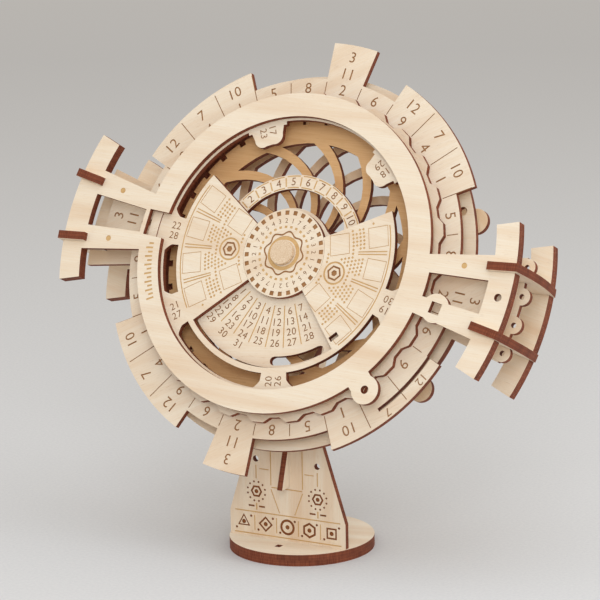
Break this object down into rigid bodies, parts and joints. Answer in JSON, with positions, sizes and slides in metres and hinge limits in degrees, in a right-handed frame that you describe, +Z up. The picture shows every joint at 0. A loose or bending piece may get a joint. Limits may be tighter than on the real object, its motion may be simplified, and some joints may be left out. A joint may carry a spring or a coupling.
{
  "type": "perpetual desk calendar",
  "caption": "Perpetual desk calendar of thin laser-cut wooden plates: a leaning stack of dials, rings and spiral wheels on one axle, in a cage of armed plates on a small round stand.",
  "frame": {"origin": "centre of the round base's underside, on the surface that it stands on", "axes": "+X to the right as the dials are read, +Y towards the back, +Z up; the dials lean back and face -Y and up"},
  "size_m": [0.1772, 0.0783, 0.1706],
  "materials": {
    "plywood": "bare basswood plywood, matt",
    "burnt_edge": "laser-darkened plywood edge, matt"
  },
  "bodies": {
    "frame": {"base_lower": "plywood", "base_upper": "plywood", "stand_plate": "plywood", "spine": "plywood", "front_plate": "plywood", "front_arc_left": "plywood", "front_arc_right": "plywood", "race_ring": "plywood", "rib_left_upper": "burnt_edge", "rib_left_lower": "burnt_edge", "rib_right_upper": "burnt_edge", "rib_right_lower": "burnt_edge", "mid_plate": "plywood", "guide_ring_front": "plywood", "guide_ring_middle": "plywood", "guide_ring_back": "plywood", "rear_plate": "plywood", "rear_arc_left": "plywood", "rear_arc_right": "plywood", "rear_boss": "plywood", "axle": "plywood", "axle_cap": "plywood", "spacer_front": "plywood", "spacer_middle": "plywood", "spacer_rear": "plywood"},
    "months": {"month_ring": "plywood", "detent_ring": "plywood"},
    "mask": {"year_mask": "plywood"},
    "weekday": {"hub_dial": "plywood"},
    "dates": {"date_plate": "plywood"},
    "front_spiral": {"front_wheel": "plywood", "front_wheel_collar": "plywood"},
    "rear_spiral": {"rear_wheel": "plywood", "rear_wheel_collar": "plywood"}
  },
  "joints": [
    {"name": "month_ring_turn", "type": "hinge", "parent": "frame", "child": "months", "pos_m": [0, -0.0112, 0.1053], "axis": [0, -0.9078, 0.4195], "continuous": true},
    {"name": "year_mask_turn", "type": "hinge", "parent": "frame", "child": "mask", "pos_m": [0, -0.0112, 0.1053], "axis": [0, -0.9078, 0.4195], "continuous": true},
    {"name": "weekday_dial_turn", "type": "hinge", "parent": "frame", "child": "weekday", "pos_m": [0, -0.0112, 0.1053], "axis": [0, -0.9078, 0.4195], "continuous": true},
    {"name": "date_plate_turn", "type": "hinge", "parent": "frame", "child": "dates", "pos_m": [0, -0.0112, 0.1053], "axis": [0, -0.9078, 0.4195], "continuous": true},
    {"name": "front_wheel_spin", "type": "hinge", "parent": "frame", "child": "front_spiral", "pos_m": [0, -0.0112, 0.1053], "axis": [0, -0.9078, 0.4195], "continuous": true},
    {"name": "rear_wheel_spin", "type": "hinge", "parent": "frame", "child": "rear_spiral", "pos_m": [0, -0.0112, 0.1053], "axis": [0, -0.9078, 0.4195], "continuous": true}
  ]
}
